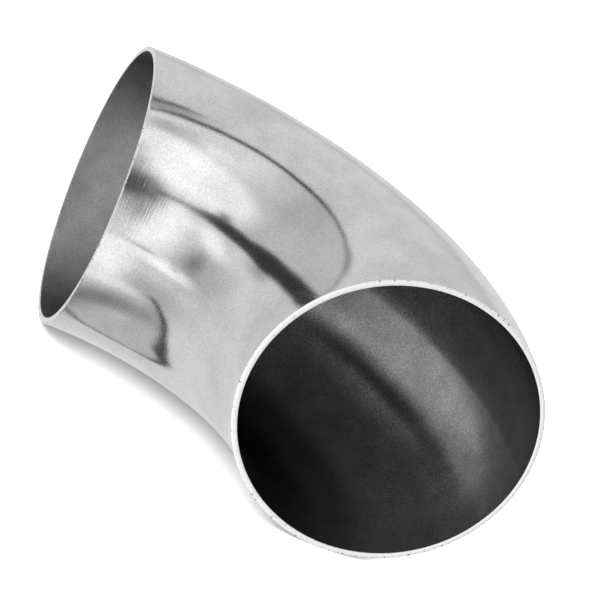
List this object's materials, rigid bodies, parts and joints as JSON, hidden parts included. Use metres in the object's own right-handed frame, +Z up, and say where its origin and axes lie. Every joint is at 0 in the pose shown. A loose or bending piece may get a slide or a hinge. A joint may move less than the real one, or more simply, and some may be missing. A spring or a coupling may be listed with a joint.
{
  "type": "pipe elbow",
  "caption": "Short radius 90 degree pipe elbow of thin polished stainless steel, with square cut ports for butt welding.",
  "frame": {"origin": "middle of the footprint, on the surface that the elbow lies on", "axes": "+Z up, square to the plane of the bend; port A faces -Y and port B faces -X"},
  "size_m": [0.113, 0.113, 0.0762],
  "materials": {
    "polished_stainless": "polished stainless steel with fine polishing lines",
    "dressed_weld": "stainless weld, dressed flush and polished"
  },
  "bodies": {
    "root": {"upper_half_shell": "polished_stainless", "lower_half_shell": "polished_stainless", "outer_seam_weld": "dressed_weld", "inner_seam_weld": "dressed_weld"}
  },
  "joints": []
}
